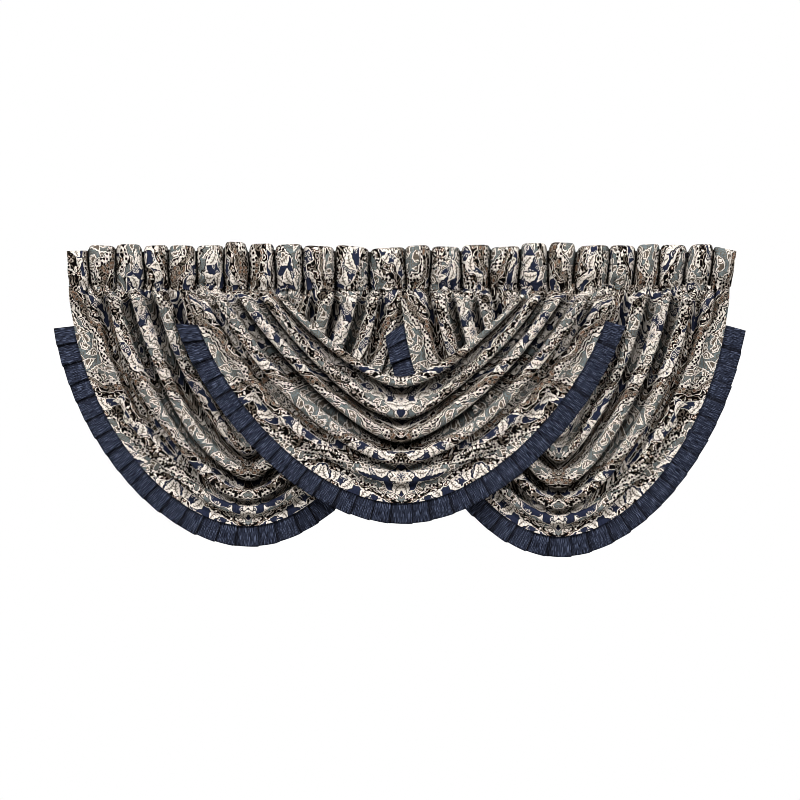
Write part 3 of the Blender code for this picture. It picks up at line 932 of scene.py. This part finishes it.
def jacquard(design, weave):
    finish, loom, shader, place = new_finish("jacquard", 0.85, 0.0)
    woven = loom.group(design, Place=place).outputs
    ribs = loom.group(weave, Place=place, Ends=420.0, Picks=330.0).outputs
    colour = loom.add("ShaderNodeMix", data_type="RGBA", blend_type="MULTIPLY")
    wired = {"Value": ribs["Slub"], "From Min": 0.3, "From Max": 0.7, "To Min": 0.72, "To Max": 1.12}
    shade = loom.add("ShaderNodeMapRange", wired)
    # Painted shade: the colour darkens where the cloth's folds, pinches and gathers carry their painted shade
    painted_shade = loom.add("ShaderNodeAttribute", attribute_name="painted_shade").outputs["Fac"]
    held = loom.maths("SUBTRACT", 1.0, loom.times(loom.maths("POWER", painted_shade, FOLD_SHADE_POWER), FOLD_SHADE))
    for index, value in ((0, 1.0), (6, woven["Colour"]), (7, loom.times(shade.outputs["Result"], held))):
        loom.wire(colour.inputs[index], value)
    loom.wire(shader.inputs["Base Color"], colour.outputs[2])
    height = loom.plus(loom.times(woven["Raised"], 0.5), loom.times(ribs["Rib"], 0.5))
    height = loom.plus(height, loom.times(ribs["Slub"], 0.4))
    bump = loom.add("ShaderNodeBump", {"Strength": 0.3, "Distance": 0.0005, "Height": height})
    loom.wire(shader.inputs["Normal"], bump.outputs[0])
    return finish


def slubbed_navy(weave):
    finish, loom, shader, place = new_finish("navy slub", 0.8, 0.03)
    x, y = loom.parts(place)
    threads = loom.noise(loom.point(loom.times(x, 1300.0), loom.times(y, 75.0)), 1.0, 2.5)
    slubs = loom.noise(loom.point(loom.times(x, 1200.0), loom.times(y, 70.0)), 1.0, 0.0)
    ribs = loom.group(weave, Place=place, Ends=450.0, Picks=300.0).outputs
    colour = loom.over(loom.rises(threads, 0.54, 0.40), "ruffle", "ruffle_dark")
    colour = loom.over(loom.rises(slubs, 0.66, 0.74), colour, "ruffle_light")
    painted_shade = loom.add("ShaderNodeAttribute", attribute_name="painted_shade").outputs["Fac"]
    # Painted shade: the colour goes towards black where each pleat turns back under the next
    colour = loom.over(loom.times(painted_shade, 0.65), colour, "black")
    loom.wire(shader.inputs["Base Color"], colour)
    height = loom.plus(loom.times(threads, 0.8), loom.times(slubs, 0.5), loom.times(ribs["Rib"], 0.2))
    bump = loom.add("ShaderNodeBump", {"Strength": 0.6, "Distance": 0.0008, "Height": height})
    loom.wire(shader.inputs["Normal"], bump.outputs[0])
    return finish


def geometry_tree(title, sizes):
    """A Geometry Nodes tree with one geometry in and out, a material, and named sizes."""
    tree = bpy.data.node_groups.new(title, "GeometryNodeTree")
    tree.interface.new_socket("Geometry", in_out="INPUT", socket_type="NodeSocketGeometry")
    tree.interface.new_socket("Finish", in_out="INPUT", socket_type="NodeSocketMaterial")
    for name in sizes:
        tree.interface.new_socket(name, in_out="INPUT", socket_type="NodeSocketFloat")
    tree.interface.new_socket("Geometry", in_out="OUTPUT", socket_type="NodeSocketGeometry")
    loom = Loom(tree)
    entry = tree.nodes.new("NodeGroupInput").outputs
    leave = tree.nodes.new("NodeGroupOutput").inputs
    return tree, loom, entry, leave


def end_tree(loom, entry, leave, geometry):
    realized = loom.add("GeometryNodeRealizeInstances", {0: geometry}).outputs[0]
    coated = loom.add("GeometryNodeSetMaterial", {"Geometry": realized, "Material": entry["Finish"]})
    loom.wire(leave["Geometry"], coated.outputs[0])


def made_by(tree, piece, finish, sizes):
    """Runs a Geometry Nodes tree on a piece with its sizes, and leaves the result as a plain mesh."""
    modifier = piece.modifiers.new(tree.name, "NODES")
    modifier.node_group = tree
    for socket in tree.interface.items_tree:
        if socket.in_out == "INPUT" and socket.name in sizes:
            modifier[socket.identifier] = sizes[socket.name]
        if socket.in_out == "INPUT" and socket.name == "Finish":
            modifier[socket.identifier] = finish
    bpy.context.view_layer.update()
    ready = piece.evaluated_get(bpy.context.evaluated_depsgraph_get())
    mesh = bpy.data.meshes.new_from_object(ready)
    piece.modifiers.remove(modifier)
    piece.data = mesh
    mesh.shade_smooth()
    return piece


def pleat_tree():
    """Knife pleats: each face runs out to its fold, turns back under itself and on into the next."""
    tree, loom, entry, leave = geometry_tree("knife pleats", PLEAT_SIZES)

    def attribute(name, kind):
        node = loom.add("GeometryNodeInputNamedAttribute", {"Name": name}, data_type=kind)
        return node.outputs["Attribute"]

    def chance(place, seed):
        """An even random number from -0.5 to 0.5 for each whole place."""
        node = loom.add("ShaderNodeTexWhiteNoise", {"W": loom.plus(place, seed)}, noise_dimensions="1D")
        return loom.maths("SUBTRACT", node.outputs["Value"], 0.5)

    along, share = attribute("along", "FLOAT"), attribute("share", "FLOAT")
    way, outward = attribute("way", "FLOAT_VECTOR"), attribute("outward", "FLOAT_VECTOR")
    wired = {"W": loom.times(along, 14.0), "Scale": 1.0}
    drift = loom.add("ShaderNodeTexNoise", wired, noise_dimensions="1D").outputs[0]
    strayed = loom.times(loom.maths("SUBTRACT", drift, 0.5), 2.0, entry["Wander"])
    place = loom.maths("DIVIDE", loom.plus(along, strayed), entry["Pitch"])
    pleat, part = loom.maths("FLOOR", place), loom.maths("FRACT", place)
    # The face takes the first 0.56 of a pitch, the turn back under it the next 0.22
    out, back, under = loom.rises(part, 0.0, 0.56), loom.rises(part, 0.56, 0.78), loom.rises(part, 0.78, 1.0)
    folded = loom.plus(out, loom.times(loom.maths("SUBTRACT", under, back), entry["Tuck"]))
    shift = loom.times(loom.maths("SUBTRACT", folded, part), entry["Pitch"])
    shift = loom.plus(shift, loom.times(chance(pleat, 3.5), share, entry["Lean"]))
    lift = loom.maths("SUBTRACT", out, loom.times(loom.plus(back, under), 0.5))
    free = loom.plus(0.35, loom.times(share, 0.65))
    lift = loom.times(lift, entry["Lift"], free, loom.plus(1.0, loom.times(chance(pleat, 9.5), 0.5)))
    flare = loom.plus(loom.maths("SUBTRACT", folded, 0.5), chance(pleat, 6.5))
    flare = loom.times(flare, share, entry["Flare"])
    moves = []
    for direction, amount in ((way, shift), (outward, flare)):
        moved = loom.vector("SCALE", direction)
        loom.wire(moved.inputs["Scale"], amount)
        moves.append(moved.outputs[0])
    forward = loom.add("ShaderNodeCombineXYZ", {1: loom.times(lift, -1.0)}).outputs[0]
    offset = loom.vector("ADD", loom.vector("ADD", *moves).outputs[0], forward).outputs[0]
    # Painted shade where each pleat turns back under itself and runs into the next, stored for the cloth's
    # colour
    painted_pleat_shade = loom.plus(loom.rises(part, 0.62, 0.80), loom.rises(part, 0.10, 0.0))
    wired = {"Geometry": entry["Geometry"], "Name": "painted_shade", "Value": painted_pleat_shade}
    shaded = loom.add("GeometryNodeStoreNamedAttribute", wired, data_type="FLOAT", domain="POINT").outputs[0]
    pleated = loom.add("GeometryNodeSetPosition", {"Geometry": shaded, "Offset": offset}).outputs[0]
    end_tree(loom, entry, leave, pleated)
    return tree


def place_camera():
    lens = bpy.data.cameras.new("front view")
    lens.lens = LENS
    lens.sensor_width = SENSOR
    lens.clip_end = 60
    camera = bpy.data.objects.new("front view", lens)
    bpy.context.scene.collection.objects.link(camera)
    x, y, z = VIEW_MIDDLE
    camera.location = (x, y - VIEW_WIDTH * LENS / SENSOR, z)
    camera.rotation_euler = (math.radians(90), 0, 0)
    bpy.context.scene.camera = camera
    # A narrow pixel filter keeps the weave as crisp as in the photograph
    bpy.context.scene.cycles.filter_width = 0.8


def soft_light(name, position, size, power):
    """A square studio light that faces the middle of the valance."""
    lamp = bpy.data.lights.new(name, "AREA")
    lamp.size = size
    lamp.energy = power
    light = bpy.data.objects.new(name, lamp)
    bpy.context.scene.collection.objects.link(light)
    light.location = position
    aim = np.array(VIEW_MIDDLE) - np.array(position)
    light.rotation_euler = (
        math.atan2(math.hypot(aim[0], aim[1]), -aim[2]),
        0,
        math.atan2(aim[0], -aim[1]) + math.pi,
    )


def light_studio():
    soft_light("left key", (-2.6, -2.4, 2.2), 0.8, 168)
    soft_light("right key", (2.6, -2.4, 2.2), 0.8, 150)
    soft_light("top", (0.0, -1.6, 3.6), 0.8, 38)
    soft_light("back", (0.6, 3.4, 1.2), 0.8, 70)
    world = bpy.data.worlds.new("white room")
    bpy.context.scene.world = world
    world.use_nodes = True
    tree = world.node_tree
    loom = Loom(tree)
    seen = loom.add("ShaderNodeLightPath").outputs["Is Camera Ray"]
    background = tree.nodes["Background"]
    background.inputs["Color"].default_value = (1, 1, 1, 1)
    loom.wire(background.inputs["Strength"], loom.plus(ROOM_LIGHT, loom.times(seen, 1 - ROOM_LIGHT)))
    bpy.context.scene.view_settings.view_transform = "Standard"


def lay_floor():
    mesh = bpy.data.meshes.new("floor")
    half, low = 1.6, -1.45
    corners = [(x * half, y * half, low) for x, y in ((-1, -1), (1, -1), (1, 1), (-1, 1))]
    mesh.from_pydata(corners, [], [(0, 1, 2, 3)])
    floor = bpy.data.objects.new("floor", mesh)
    bpy.context.scene.collection.objects.link(floor)
    finish = bpy.data.materials.new("pale floor")
    finish.use_nodes = True
    finish.node_tree.nodes["Principled BSDF"].inputs["Base Color"].default_value = linear("floor")
    mesh.materials.append(finish)


def main():
    place_camera()
    light_studio()
    lay_floor()
    weave = weave_group()
    design = design_group(motif_group(), ground_group())
    woven = jacquard(design, weave)
    navy = slubbed_navy(weave)
    pleats = pleat_tree()
    pocket = make_pocket(woven)
    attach(pocket, "root")
    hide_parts("rod_pocket")
    for swag in SWAGS:
        sheet, cloth = make_swag(swag, woven)
        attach(cloth, "root")
        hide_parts(f"swag_{swag.side}")
        ruffle = made_by(pleats, ruffle_strip(swag, sheet, navy), navy, PLEAT_SIZES)
        thicken(ruffle, RUFFLE_CLOTH)
        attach(ruffle, "root")
        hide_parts(f"ruffle_{swag.side}")


main()
